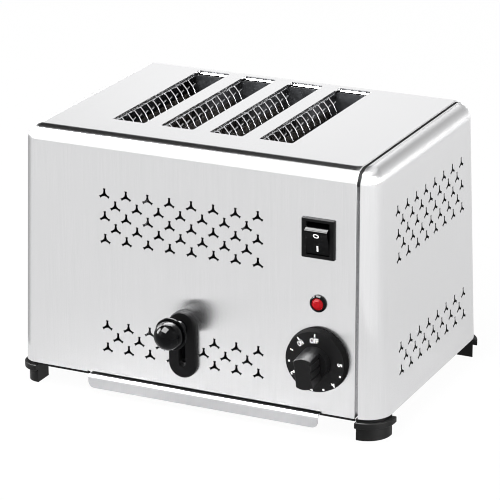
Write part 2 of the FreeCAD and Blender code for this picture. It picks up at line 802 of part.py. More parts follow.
def tubesOnRods(z0, z1, outer, inner):
    tubes = []
    for x in rodXs:
        tube = rodAlong(V(x, rodY, z0), V(x, rodY, z1), outer)
        tubes.append(tube.cut(rodAlong(V(x, rodY, z0 - past), V(x, rodY, z1 + past), inner)))
    return Part.makeCompound(tubes)


def carriageBushes():
    return tubesOnRods(carriageBottom, carriageTop, bushRadius, rodRadius + runningFit)


def liftSprings():
    return tubesOnRods(baseTop, carriageBottom, springRadius, springBore)


def guideRods():
    return Part.makeCompound([rodAlong(V(x, rodY, baseTop), V(x, rodY, rodTop), rodRadius) for x in rodXs])


def rodBrackets():
    brackets = []
    top = rodTop - bracketDrop
    for x in rodXs:
        x0 = x - bracketHalf
        x1 = x + bracketHalf
        shelf = block(x0, x1, rodY - bracketLead, plateFront, top - sheet, top)
        wall = block(x0, x1, plateFront - sheet, plateFront, top - bracketHeight, top)
        brackets.append(fuse([shelf, wall]).cut(rodAlong(V(x, rodY, 0), V(x, rodY, bodyTop), rodRadius)))
    return Part.makeCompound(brackets)


def holdMagnet():
    top = carriageBottom - leverTravel - armatureThick - fitGap
    y0 = carriageFront + magnetIn
    y1 = y0 + magnetWidth / 2
    core = block(leverX - magnetWidth / 2, leverX + magnetWidth / 2, y0, y1, baseTop, top)
    half = magnetWidth / 6
    window = block(leverX - half, leverX + half, y0 - past, y1 + past, baseTop + magnetYoke, top + past)
    return core.cut(window)


def armaturePlate():
    x0 = leverX - magnetWidth / 2
    y1 = carriageFront + magnetIn + magnetWidth / 2
    return block(x0, x0 + magnetWidth, carriageFront, y1, carriageBottom - armatureThick, carriageBottom)


def escutcheon():
    y0 = yFront - escutcheonThick
    plate = obround(leverX, escutcheonWidth / 2, escutcheonBottom, escutcheonTop, y0, yFront)
    plate = plate.makeFillet(escutcheonChamfer, [e for e in plate.Edges if e.BoundBox.YMax < y0 + near])
    slotBottom = leverSlotBottom - escutcheonSlotDrop
    return plate.cut(obround(leverX, leverSlotHalf, slotBottom, leverSlotTop, y0 - past, yFront + past))


# Rocker switch: housing with a cavity, and a paddle with two slanted ends on a pin
def rockerHousing():
    halfW = rockerBezelWidth / 2
    halfH = rockerBezelHeight / 2
    face = yFront - rockerBezelThick
    bezel = roundedPlate(controlX - halfW, controlX + halfW, rockerZ - halfH, rockerZ + halfH, face, yFront,
                         rockerBezelCorner)
    bezel = bezel.makeChamfer(rockerBezelChamfer, [e for e in bezel.Edges if e.BoundBox.YMax < face + near])
    bodyBack = yFront + rockerBodyDeep
    body = block(controlX - rockerBodyWidth / 2, controlX + rockerBodyWidth / 2, yFront, bodyBack,
                 rockerZ - rockerBodyHeight / 2, rockerZ + rockerBodyHeight / 2)
    reach = paddleRadius + paddleClear
    side = paddleWidth / 2 + paddleClear
    cavityBack = pivotY - paddleBack[0] + rockerCavityBack
    cavity = block(controlX - side, controlX + side, yFront - past, cavityBack, rockerZ - reach, rockerZ + reach)
    tabs = []
    for x in (controlX - tabSpread[0], controlX + tabSpread[0]):
        for z in (rockerZ - tabSpread[1], rockerZ + tabSpread[1]):
            tabs.append(block(x - tabWidth / 2, x + tabWidth / 2, bodyBack, bodyBack + tabLong,
                              z - tabThick / 2, z + tabThick / 2))
    pins = []
    for sign in (-1, 1):
        start = V(controlX + sign * (side + rockerPinRoot), pivotY, rockerZ)
        end = V(controlX + sign * (paddleWidth / 2 - rockerPinHold), pivotY, rockerZ)
        pins.append(rodAlong(start, end, rockerPinRadius))
    return fuse([fuse([bezel, body]).cut(cavity)] + pins + tabs)


def rockerPaddle():
    x0 = controlX - paddleWidth / 2
    half = [paddleEdge, paddleEnd, paddleBack]
    outline = [(paddleVertexOut, 0)] + half + [(out, -up) for out, up in reversed(half)]
    paddle = prism([V(x0, pivotY - out, rockerZ + up) for out, up in outline], V(paddleWidth, 0, 0))
    paddle = paddle.cut(rodAlong(V(x0, pivotY, rockerZ), V(x0 + paddleWidth, pivotY, rockerZ),
                                 rockerPinRadius + runningFit))
    paddle.rotate(V(controlX, pivotY, rockerZ), V(1, 0, 0), paddleSwing / 2)
    return paddle


# Pilot lamp: bezel with its body, a faceted lens and the nut behind the panel
def lampBezel():
    y0 = yFront - lampBezelThick
    rim = rodAlongY(controlX, lampZ, y0, yFront, lampRadius)
    rim = rim.makeChamfer(lampBezelChamfer, [e for e in rim.Edges if e.BoundBox.YMax < y0 + near])
    body = rodAlongY(controlX, lampZ, yFront, yFront + lampBodyDeep, lampBodyRadius)
    bore = rodAlongY(controlX, lampZ, y0 - past, yFront + lampHoleDeep, lampLensRadius - lampSeatLip)
    seat = rodAlongY(controlX, lampZ, y0 - past, yFront - lampSeatOut, lampLensRadius)
    return fuse([rim, body]).cut(bore).cut(seat)


def lampLens():
    base = yFront - lampSeatOut
    front = base - lampLensEdge
    edge = rodAlongY(controlX, lampZ, front, base, lampLensRadius)
    angles = [math.radians(360 / lampFacets * (i + 0.5)) for i in range(lampFacets)]
    rings = []
    for y, share in ((front, lampFacetBase), (yFront - lampLensOut, lampFacetTop)):
        radius = lampLensRadius * share
        points = [V(controlX + radius * math.cos(a), y, lampZ + radius * math.sin(a)) for a in angles]
        rings.append(Part.makePolygon(points + [points[0]]))
    return fuse([edge, Part.makeLoft(rings, True, True)])


def lampNut():
    y0 = yFront + sheet
    nut = prism([V(controlX + a, y0, lampZ + b) for a, b in hexagon(lampNutRadius)], V(0, nutThick, 0))
    return nut.cut(rodAlongY(controlX, lampZ, y0 - past, y0 + nutThick + past, lampBodyRadius))


# Timer behind the panel, its shaft, and the dial knob with an upright grip
def timerBody():
    y0 = yFront + sheet
    back = y0 + timerBodyDeep
    halfW = timerBodyWidth / 2
    halfH = timerBodyHeight / 2
    caseHalf = halfH - timerFlangeOut
    case = roundedPlate(controlX - halfW, controlX + halfW, timerZ - caseHalf, timerZ + caseHalf,
                        y0 + timerFlange, back, timerBodyCorner)
    flange = block(controlX - halfW + timerFlangeIn, controlX + halfW - timerFlangeIn, y0, y0 + timerFlange,
                   timerZ - halfH, timerZ + halfH)
    bell = rodAlongY(controlX, timerZ, back, back + timerBellDeep, timerBellRadius)
    bore = rodAlongY(controlX, timerZ, y0 - past, y0 + timerShaftIn, timerShaftRadius + runningFit)
    return fuse([case, flange, bell]).cut(bore)


def timerShaft():
    back = yFront + sheet + timerShaftIn
    return rodAlongY(controlX, timerZ, yFront - timerShaftOut, back, timerShaftRadius)


def timerKnob():
    back = yFront - skirtBackOut
    face = yFront - skirtFaceOut
    front = yFront - gripFrontOut
    middle = V(controlX, face, timerZ)
    outwards = V(0, -1, 0)
    skirt = Part.makeCone(skirtRadius, skirtRadius - skirtTaper, back - face, V(controlX, back, timerZ),
                          outwards)
    lean = V(0, front - face, -gripFrontDrop)
    core = rodAlong(middle - lean, middle + lean * 2, gripRadius)
    half = gripWidth / 2
    low = timerZ - gripRadius - past
    high = timerZ + gripRadius + past
    side = gripRadius + past
    boss = core.common(block(controlX - side, controlX + side, face - bossOut, face, low, high))
    grip = core.common(block(controlX - half, controlX + half, front, face, low, high))
    grip = grip.makeFillet(gripEdge, [e for e in grip.Edges if e.BoundBox.YMax < front + near])
    grooves = [rodAlongY(controlX + side * half, timerZ + z, front - past, face - bossOut, gripGrooveRadius)
               for side in (-1, 1) for z in gripGrooves]
    handle = fuse([grip.cut(Part.makeCompound(grooves)), boss])
    handle.rotate(middle, V(0, 1, 0), -gripTurn)
    bore = rodAlongY(controlX, timerZ, yFront - timerShaftOut, yFront, timerShaftRadius)
    return fuse([skirt, handle]).cut(bore)


def timerScrews():
    radius, height = timerScrewHead
    y0 = yFront + sheet + timerFlange
    reach = timerBodyHeight / 2 - timerScrewIn
    heads = [rodAlongY(controlX, z, y0, y0 + height, radius) for z in (timerZ - reach, timerZ + reach)]
    return Part.makeCompound(heads)


# Mains side: gland with its nut in the back wall, and a terminal block on the base plate
def cableGland():
    addedRadius, flangeThick = glandFlange
    y0 = yBack - sheet - glandThreadIn
    domeStart = yBack + flangeThick
    thread = rodAlongY(glandX, glandZ, y0, yBack, glandThread)
    flange = rodAlongY(glandX, glandZ, yBack, domeStart, glandThread + addedRadius)
    dome = Part.makeCone(glandThread + glandDome, glandThread - glandDome, glandReach - flangeThick,
                         V(glandX, domeStart, glandZ), V(0, 1, 0))
    bore = rodAlongY(glandX, glandZ, y0 - past, yBack + glandReach + past, glandBore)
    return fuse([thread, flange, dome]).cut(bore)


def glandNutPart():
    y1 = yBack - sheet
    y0 = y1 - glandNutDeep
    nut = prism([V(glandX + a, y0, glandZ + b) for a, b in hexagon(glandNut)], V(0, glandNutDeep, 0))
    return nut.cut(rodAlongY(glandX, glandZ, y0 - past, y1 + past, glandThread))


def terminalWells(depthTop, radius):
    x0 = controlX - terminalLeft + wellFirst
    y0 = yBack - terminalIn
    low = baseTop + wellFloor
    ys = (y0 + wellFirst, y0 + terminalSize[1] - wellFirst)
    places = [(x0 + i * wellPitch, y) for i in range(3) for y in ys]
    return Part.makeCompound([rodAlong(V(x, y, low), V(x, y, low + depthTop), radius) for x, y in places])


def terminalBlock():
    wide, deep, high = terminalSize
    x0 = controlX - terminalLeft
    y0 = yBack - terminalIn
    return block(x0, x0 + wide, y0, y0 + deep, baseTop, baseTop + high).cut(terminalWells(high, wellRadius))


def terminalScrews():
    radius, height = terminalScrew
    return terminalWells(height, radius)


save("main_shell", mainShell())
save("right_end_cover", endCover())
save("base_plate", basePlate())
for name, *place in footPlaces():
    save("foot_" + name, foot(*place))
save("foot_screws", footScrews())
save("foot_nuts", footNuts())
save("crumb_tray", crumbTray())
save("tray_rails", trayRails())
save("chamber_front_plate", chamberPlate(plateFront, False))
save("chamber_rear_plate", chamberPlate(plateRear, True))
save("left_heat_shield", heatShield(chamberLeft - sheet))
save("right_heat_shield", heatShield(chamberRight))
for i, x in enumerate(boardXs):
    save("heater_board_" + str(i + 1), heaterBoard(x))
    save("heater_ribbon_" + str(i + 1), ribbons(x))
for i, x in enumerate(slotXs):
    save("bread_guard_" + str(i + 1), Part.makeCompound([guardSide(x, 1), guardSide(x, -1)]))
    save("bread_rack_" + str(i + 1), breadRack(x))
save("lever_rod", leverRod())
save("lever_ball", leverBall())
save("lever_escutcheon", escutcheon())
save("carriage_plate", carriagePlate())
save("carriage_bushes", carriageBushes())
save("guide_rods", guideRods())
save("rod_brackets", rodBrackets())
save("lift_springs", liftSprings())
save("hold_magnet", holdMagnet())
save("armature_plate", armaturePlate())
save("rocker_housing", rockerHousing())
save("rocker_paddle", rockerPaddle())
save("lamp_bezel", lampBezel())
save("lamp_lens", lampLens())
save("lamp_nut", lampNut())
save("timer_body", timerBody())
save("timer_shaft", timerShaft())
save("timer_knob", timerKnob())
save("timer_screws", timerScrews())
save("cable_gland", cableGland())
save("gland_nut", glandNutPart())
save("terminal_block", terminalBlock())
save("terminal_screws", terminalScrews())
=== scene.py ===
import bpy
import bmesh
import json
import math
import numpy as np
from mathutils import Matrix, Vector


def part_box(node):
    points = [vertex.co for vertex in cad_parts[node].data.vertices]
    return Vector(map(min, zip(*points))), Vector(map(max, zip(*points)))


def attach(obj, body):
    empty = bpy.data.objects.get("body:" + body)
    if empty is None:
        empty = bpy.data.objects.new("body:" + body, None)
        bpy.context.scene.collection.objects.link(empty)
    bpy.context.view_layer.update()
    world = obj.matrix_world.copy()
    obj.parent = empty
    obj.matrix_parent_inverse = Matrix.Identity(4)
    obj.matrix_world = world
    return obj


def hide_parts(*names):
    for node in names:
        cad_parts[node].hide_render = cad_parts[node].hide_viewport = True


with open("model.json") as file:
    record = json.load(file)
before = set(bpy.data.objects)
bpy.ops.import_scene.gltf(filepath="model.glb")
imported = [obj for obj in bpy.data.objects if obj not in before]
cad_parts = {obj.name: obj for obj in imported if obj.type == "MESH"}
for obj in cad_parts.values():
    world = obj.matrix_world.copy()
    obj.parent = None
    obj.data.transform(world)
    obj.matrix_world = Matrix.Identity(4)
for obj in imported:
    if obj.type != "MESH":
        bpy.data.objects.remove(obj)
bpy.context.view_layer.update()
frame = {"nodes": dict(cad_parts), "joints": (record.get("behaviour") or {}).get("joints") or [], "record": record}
nodes = frame["nodes"]
mm = 0.001
shellLow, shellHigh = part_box("main_shell")
coverLow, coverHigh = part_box("right_end_cover")
panelY = shellLow.y                      # front face of the front panel
topZ = shellHigh.z
bodyOf = {}
for bodyName, members in frame["record"]["behaviour"]["bodies"].items():
    for member in members:
        bodyOf[member] = bodyName
slotOf = {part["node"]: part["material_slot"] for part in frame["record"]["subparts"]}
print("frame loaded:", len(nodes), "pieces")


# Small helpers
def linear(hexText):
    # sRGB to linear: (c / 12.92) near black, else ((c + 0.055) / 1.055) to the power 2.4
    srgb = [int(hexText[i:i + 2], 16) / 255 for i in (0, 2, 4)]
    return tuple(c / 12.92 if c <= 0.04045 else ((c + 0.055) / 1.055) ** 2.4 for c in srgb) + (1.0,)


def addNode(tree, kind, settings=None, **links):
    # adds a shader node: settings are its own values, links are sockets or plain values by input name,
    # or by i and the input's number where two inputs share a name
    node = tree.nodes.new(kind)
    for key, value in (settings or {}).items():
        setattr(node, key, value)
    for key, value in links.items():
        byNumber = key[0] == "i" and key[1:].isdigit()
        socket = node.inputs[int(key[1:]) if byNumber else key.replace("_", " ")]
        if isinstance(value, bpy.types.NodeSocket):
            tree.links.new(value, socket)
        else:
            socket.default_value = value
    return node


def newMaterial(name, hexText, roughness, metallic=0.0, **sockets):
    material = bpy.data.materials.new(name)
    material.use_nodes = True
    tree = material.node_tree
    shader = tree.nodes["Principled BSDF"]
    shader.inputs["Base Color"].default_value = linear(hexText)
    shader.inputs["Roughness"].default_value = roughness
    shader.inputs["Metallic"].default_value = metallic
    for key, value in sockets.items():
        shader.inputs[key.replace("_", " ")].default_value = value
    return material, tree, shader


def patternCoords(tree, size):
    # the piece's own coordinates, counted in steps of this size in millimetres
    coords = addNode(tree, "ShaderNodeTexCoord")
    scale = (1 / (size * mm),) * 3
    return addNode(tree, "ShaderNodeMapping", Vector=coords.outputs["Object"], Scale=scale).outputs["Vector"]


def setMaterial(obj, material):
    obj.data.materials.clear()
    obj.data.materials.append(material)


def makeObject(name, verts, faces, body, material):
    # a new flat-faced piece on one of the moving bodies
    mesh = bpy.data.meshes.new(name)
    mesh.from_pydata(np.asarray(verts, float).tolist(), [], faces)
    mesh.update()
    obj = bpy.data.objects.new(name, mesh)
    bpy.context.scene.collection.objects.link(obj)
    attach(obj, body)
    setMaterial(obj, material)


# Camera: the photograph's viewing angle, solved from the vent pattern; its place counts from the panel
cameraSettings = {"azimuth": 25.48, "elevation": 19.60, "roll": -0.29, "place": (0.8496, -1.6887, 0.8019),
                  "lens": 196.28, "sensor": 36.0, "clip": (0.05, 50)}


def buildCamera(settings):
    az, el, roll = (math.radians(settings[key]) for key in ("azimuth", "elevation", "roll"))
    forward = Vector((-math.sin(az) * math.cos(el), math.cos(az) * math.cos(el), -math.sin(el)))
    right = Vector((math.cos(az), math.sin(az), 0))
    up = right.cross(forward)
    turnedRight = right * math.cos(roll) + up * math.sin(roll)
    turnedUp = up * math.cos(roll) - right * math.sin(roll)
    data = bpy.data.cameras.new("photoCamera")
    data.lens = settings["lens"]
    data.sensor_width = settings["sensor"]
    data.clip_start, data.clip_end = settings["clip"]
    camera = bpy.data.objects.new("photoCamera", data)
    place = Vector(settings["place"]) + Vector((0, panelY, 0))
    turn = Matrix((turnedRight, turnedUp, -forward)).transposed()
    camera.matrix_world = Matrix.Translation(place) @ turn.to_4x4()
    bpy.context.scene.collection.objects.link(camera)
    bpy.context.scene.camera = camera


buildCamera(cameraSettings)
bpy.context.scene.view_settings.view_transform = "Standard"
bpy.context.scene.cycles.filter_width = 1.0      # sharper than the default 1.5, as the photograph is

# Studio: a white surround, brightest in front, with one dark strip high behind, a pale floor and soft
# lamps. Angles are degrees above the horizon behind, and sides are the X of a direction, from -1 to 1.
studio = {
    "surround": {"colour": "F6F6F6", "low": 1.5, "behind": 0.92, "behindFade": 6.0, "front": 1.6,
                 "frontFade": 8.0},
    "strip": {"angles": (24.0, 93.0), "angleSoft": (0.8, 2.5), "sides": (-0.9, -0.22),
              "sideSoft": (0.08, 0.03), "tone": 0.004},
    # behind, the surround turns greyer from left to right, and a little paler again farther round
    "greyer": {"sides": (-0.42, -0.17), "share": 0.52},
    "paler": {"sides": (0.3, 0.65), "share": 0.2},
    # the shares of the floor that shine by themselves for shiny pieces and for the camera
    "floor": {"half": 40.0, "colour": "F4F4F4", "roughness": 0.9, "mirrorLevel": 0.85, "mirrorShare": 0.85,
              "cameraShare": 0.96},
    # cards that only shiny surfaces show: two ends on the floor, height, and tone at each end
    "cards": {"darkCard": {"ends": ((-0.225, -0.1), (-0.225, 0.2)), "tall": 0.19, "tones": (0.6, 0.0)},
              "brightCard": {"ends": ((0.17, -0.42), (0.42, -0.12)), "tall": 0.3, "tones": (1.15, 1.05)}},
    # where each lamp hangs, how wide it is, its power, and whether only shiny surfaces show it
    "lamps": {
        "overhead": {"at": (-0.25, -0.55, 1.7), "size": (1.3, 1.3), "power": 9.0, "shine": False},
        "left": {"at": (-1.5, -1.3, 0.9), "size": (1.0, 1.0), "power": 7.0, "shine": False},
        "right": {"at": (1.7, -0.4, 1.0), "size": (0.9, 0.9), "power": 5.0, "shine": False},
        "softBox": {"at": (-0.42, -0.88, 1.50), "size": (1.35, 1.15), "power": 300.0, "shine": True},
        "sideBox": {"at": (-1.55, -0.45, 0.75), "size": (0.6, 0.9), "power": 80.0, "shine": True},
        "frontBox": {"at": (1.53, -0.46, 0.33), "size": (0.6, 0.8), "power": 110.0, "shine": True},
    },
    "lampAim": (0, 0, 0.1),
}


def buildWorld(settings):
    # strength = (behind x (greyer + paler) + before) x (1 - strip) + the strip's own tone,
    # where strip = rise x fall over the angles x the same from side to side
    world = bpy.data.worlds.new("studioSurround")
    bpy.context.scene.world = world
    world.use_nodes = True
    tree = world.node_tree
    tree.nodes.clear()
    surround, strip = settings["surround"], settings["strip"]
    greyer, paler = settings["greyer"], settings["paler"]
    coords = addNode(tree, "ShaderNodeTexCoord")
    parts = addNode(tree, "ShaderNodeSeparateXYZ", Vector=coords.outputs["Generated"])
    angle = addNode(tree, "ShaderNodeMath", {"operation": "ARCTAN2"}, i0=parts.outputs["Z"],
                    i1=parts.outputs["Y"])
    degrees = addNode(tree, "ShaderNodeMath", {"operation": "DEGREES"}, i0=angle.outputs[0]).outputs[0]
    sideways = parts.outputs["X"]
    bottom, top = strip["angles"]
    bottomSoft, topSoft = strip["angleSoft"]
    left, right = strip["sides"]
    leftSoft, rightSoft = strip["sideSoft"]
    # each tone goes from its first level to its second while the direction goes over its own span
    spans = {
        "rise": (degrees, bottom - bottomSoft, bottom + bottomSoft, 0.0, 1.0),
        "fall": (degrees, top - topSoft, top + topSoft, 1.0, 0.0),
        "fromLeft": (sideways, left - leftSoft, left + leftSoft, 0.0, 1.0),
        "toRight": (sideways, right - rightSoft, right + rightSoft, 1.0, 0.0),
        "behind": (degrees, bottom, bottom + surround["behindFade"], surround["low"], surround["behind"]),
        "before": (degrees, top, top + surround["frontFade"], 0.0, surround["front"] - surround["behind"]),
        "greyer": (sideways, *greyer["sides"], 1.0, greyer["share"]),
        "paler": (sideways, *paler["sides"], 0.0, paler["share"]),
    }
    tones = {}
    for name, (value, fromLow, fromHigh, toLow, toHigh) in spans.items():
        tones[name] = addNode(tree, "ShaderNodeMapRange", Value=value, From_Min=fromLow, From_Max=fromHigh,
                              To_Min=toLow, To_Max=toHigh).outputs[0]
    for name, operation, first, second in (
            ("overAngles", "MULTIPLY", "rise", "fall"), ("overSides", "MULTIPLY", "fromLeft", "toRight"),
            ("strip", "MULTIPLY", "overAngles", "overSides"), ("open", "SUBTRACT", 1.0, "strip"),
            ("shaded", "ADD", "greyer", "paler"), ("back", "MULTIPLY", "behind", "shaded"),
            ("sky", "ADD", "back", "before"), ("lit", "MULTIPLY", "sky", "open"),
            ("light", "ADD", "lit", strip["tone"])):
        tones[name] = addNode(tree, "ShaderNodeMath", {"operation": operation}, i0=tones.get(first, first),
                              i1=tones.get(second, second)).outputs[0]
    rays = addNode(tree, "ShaderNodeLightPath")
    around = addNode(tree, "ShaderNodeBackground", Color=linear(surround["colour"]),
                     Strength=tones["light"])
    white = addNode(tree, "ShaderNodeBackground", Color=(1, 1, 1, 1), Strength=1.0)
    mix = addNode(tree, "ShaderNodeMixShader", i0=rays.outputs["Is Camera Ray"], i1=around.outputs[0],
                  i2=white.outputs[0])
    addNode(tree, "ShaderNodeOutputWorld", Surface=mix.outputs[0])


def stageSheet(name, corners):
    # one flat face of the studio, given corner by corner
    obj = bpy.data.objects.new(name, bpy.data.meshes.new(name))
    obj.data.from_pydata(corners, [], [(0, 1, 2, 3)])
    bpy.context.scene.collection.objects.link(obj)
    return obj


def buildFloor(floor):
    # pale paint that keeps the shadow, with a plain level of its own for the camera and for shiny pieces
    half = floor["half"]
    obj = stageSheet("paleFloor", [(-half, -half, 0), (half, -half, 0), (half, half, 0), (-half, half, 0)])
    material, tree, shader = newMaterial("paleFloorPaint", floor["colour"], floor["roughness"])
    rays = addNode(tree, "ShaderNodeLightPath")
    isMirror, isCamera = rays.outputs["Is Glossy Ray"], rays.outputs["Is Camera Ray"]
    mirrored = addNode(tree, "ShaderNodeMath", {"operation": "MULTIPLY"}, i0=isMirror,
                       i1=floor["mirrorShare"])
    seen = addNode(tree, "ShaderNodeMath", {"operation": "MULTIPLY"}, i0=isCamera,
                   i1=floor["cameraShare"])
    share = addNode(tree, "ShaderNodeMath", {"operation": "MAXIMUM"}, i0=mirrored.outputs[0],
                    i1=seen.outputs[0])
    level = addNode(tree, "ShaderNodeMapRange", Value=isMirror, To_Min=1.0, To_Max=floor["mirrorLevel"])
    glow = addNode(tree, "ShaderNodeEmission", Color=(1, 1, 1, 1), Strength=level.outputs[0])
    mix = addNode(tree, "ShaderNodeMixShader", i0=share.outputs[0], i1=shader.outputs[0],
                  i2=glow.outputs[0])
    tree.links.new(mix.outputs[0], tree.nodes["Material Output"].inputs["Surface"])
    setMaterial(obj, material)


def buildCard(name, card):
    # an upright card that grades along Y from its first tone to its second
    (x0, y0), (x1, y1) = card["ends"]
    obj = stageSheet(name, [(x0, y0, 0), (x1, y1, 0), (x1, y1, card["tall"]), (x0, y0, card["tall"])])
    for way in ("camera", "diffuse", "transmission", "volume_scatter", "shadow"):
        setattr(obj, "visible_" + way, False)
    material = bpy.data.materials.new(name + "Tone")
    material.use_nodes = True
    tree = material.node_tree
    tree.nodes.clear()
    coords = addNode(tree, "ShaderNodeTexCoord")
    parts = addNode(tree, "ShaderNodeSeparateXYZ", Vector=coords.outputs["Object"])
    tone = addNode(tree, "ShaderNodeMapRange", Value=parts.outputs["Y"], From_Min=y0, From_Max=y1,
                   To_Min=card["tones"][0], To_Max=card["tones"][1])
    glow = addNode(tree, "ShaderNodeEmission", Color=(1, 1, 1, 1), Strength=tone.outputs[0])
    addNode(tree, "ShaderNodeOutputMaterial", Surface=glow.outputs[0])
    setMaterial(obj, material)


def buildLamp(name, lamp, target):
    data = bpy.data.lights.new(name + "Lamp", "AREA")
    data.shape = "RECTANGLE"
    data.size, data.size_y = lamp["size"]
    data.energy = lamp["power"]
    obj = bpy.data.objects.new(name + "Lamp", data)
    obj.location = lamp["at"]
    obj.visible_diffuse = not lamp["shine"]
    aim = Vector(target) - Vector(lamp["at"])
    obj.rotation_euler = aim.to_track_quat("-Z", "Y").to_euler()
    bpy.context.scene.collection.objects.link(obj)


buildWorld(studio)
buildFloor(studio["floor"])
for cardName, cardSettings in studio["cards"].items():
    buildCard(cardName, cardSettings)
for lampName, lampSettings in studio["lamps"].items():
    buildLamp(lampName, lampSettings, studio["lampAim"])
print("camera, surround, floor and lamps placed")

# Materials. Real brushing lines lie about 0.05 mm apart and a mould's grain about 0.1 mm, both too fine
# to show, so they are drawn as coarse as these millimetres say.
brushing = {"across": 0.7, "along": 40.0, "endFrom": 0.68, "endTo": 0.74, "lean": 0.02, "tone": 0.018,
            "roughness": 0.008}
cloudSize = 6.0
mouldGrain = {"size": 0.35, "depth": 0.02, "bump": 0.25, "roughness": 0.04}
noiseSpan = {"From_Min": 0.3, "From_Max": 0.7}      # where nearly all of a noise lies


def brushedCoords(tree):
    # lines across X, or across Y on the ends: fine = X x (1 - isEnd) + Y x isEnd, and the other way round
    coords = addNode(tree, "ShaderNodeTexCoord")
    parts = addNode(tree, "ShaderNodeSeparateXYZ", Vector=coords.outputs["Object"])
    geometry = addNode(tree, "ShaderNodeNewGeometry")
    normal = addNode(tree, "ShaderNodeSeparateXYZ", Vector=geometry.outputs["Normal"])
    sideways = addNode(tree, "ShaderNodeMath", {"operation": "ABSOLUTE"}, i0=normal.outputs["X"])
    isEnd = addNode(tree, "ShaderNodeMapRange", Value=sideways.outputs[0], From_Min=brushing["endFrom"],
                    From_Max=brushing["endTo"]).outputs[0]
    fine = addNode(tree, "ShaderNodeMix", {"data_type": "FLOAT"}, Factor=isEnd, A=parts.outputs["X"],
                   B=parts.outputs["Y"])
    other = addNode(tree, "ShaderNodeMix", {"data_type": "FLOAT"}, Factor=isEnd, A=parts.outputs["Y"],
                    B=parts.outputs["X"])
    joined = addNode(tree, "ShaderNodeCombineXYZ", X=fine.outputs[0], Y=other.outputs[0],
                     Z=parts.outputs["Z"])
    across, along = (1 / (brushing[key] * mm) for key in ("across", "along"))
    mapping = addNode(tree, "ShaderNodeMapping", Vector=joined.outputs[0], Scale=(across, along, along))
    # reflections spread across the lines: level round the sides, along X on the top
    level = addNode(tree, "ShaderNodeVectorMath", {"operation": "CROSS_PRODUCT"}, i0=(0, 0, 1),
                    i1=geometry.outputs["Normal"])
    tangent = addNode(tree, "ShaderNodeVectorMath", {"operation": "ADD"}, i0=level.outputs[0],
                      i1=(brushing["lean"], 0, 0))
    return mapping.outputs["Vector"], tangent.outputs[0]


def brushedSteel(name, hexText, roughness, anisotropy):
    # brushed stainless: soft streaks of tone along the brushing and a sideways blur of reflections
    material, tree, shader = newMaterial(name, hexText, roughness, metallic=1.0, Anisotropic=anisotropy)
    vector, tangent = brushedCoords(tree)
    tree.links.new(tangent, shader.inputs["Tangent"])
    streaks = addNode(tree, "ShaderNodeTexNoise", Vector=vector, Scale=1.0, Detail=3.0, Roughness=0.6)
    tone = addNode(tree, "ShaderNodeMapRange", Value=streaks.outputs["Fac"], **noiseSpan,
                   To_Min=1 - brushing["tone"], To_Max=1 + brushing["tone"])
    tinted = addNode(tree, "ShaderNodeVectorMath", {"operation": "SCALE"}, i0=linear(hexText)[:3],
                     Scale=tone.outputs[0])
    tree.links.new(tinted.outputs[0], shader.inputs["Base Color"])
    rough = addNode(tree, "ShaderNodeMapRange", Value=streaks.outputs["Fac"], **noiseSpan,
                    To_Min=roughness - brushing["roughness"], To_Max=roughness + brushing["roughness"])
    tree.links.new(rough.outputs[0], shader.inputs["Roughness"])
    return material


def millSheet(name, hexText, roughness, spread=0.08):
    # bare rolled, drawn or plated metal: dull, with soft clouds a few millimetres wide
    material, tree, shader = newMaterial(name, hexText, roughness, metallic=1.0)
    clouds = addNode(tree, "ShaderNodeTexNoise", Vector=patternCoords(tree, cloudSize), Scale=1.0,
                     Detail=4.0)
    rough = addNode(tree, "ShaderNodeMapRange", Value=clouds.outputs["Fac"], **noiseSpan,
                    To_Min=roughness - spread, To_Max=roughness + spread)
    tree.links.new(rough.outputs[0], shader.inputs["Roughness"])
    return material


def mouldedPlastic(name, hexText, roughness, grain=None, depth=None, shine=0.12):
    # moulded plastic: even colour with the fine spark-eroded grain of its mould
    grain = grain or mouldGrain["size"]
    depth = depth or mouldGrain["depth"]
    material, tree, shader = newMaterial(name, hexText, roughness, Specular_IOR_Level=shine)
    noise = addNode(tree, "ShaderNodeTexNoise", Vector=patternCoords(tree, grain), Scale=1.0, Detail=2.0)
    bump = addNode(tree, "ShaderNodeBump", Height=noise.outputs["Fac"], Strength=mouldGrain["bump"],
                   Distance=depth * mm)
    tree.links.new(bump.outputs[0], shader.inputs["Normal"])
    rough = addNode(tree, "ShaderNodeMapRange", Value=noise.outputs["Fac"],
                    To_Min=roughness - mouldGrain["roughness"], To_Max=roughness + mouldGrain["roughness"])
    tree.links.new(rough.outputs[0], shader.inputs["Roughness"])
    return material


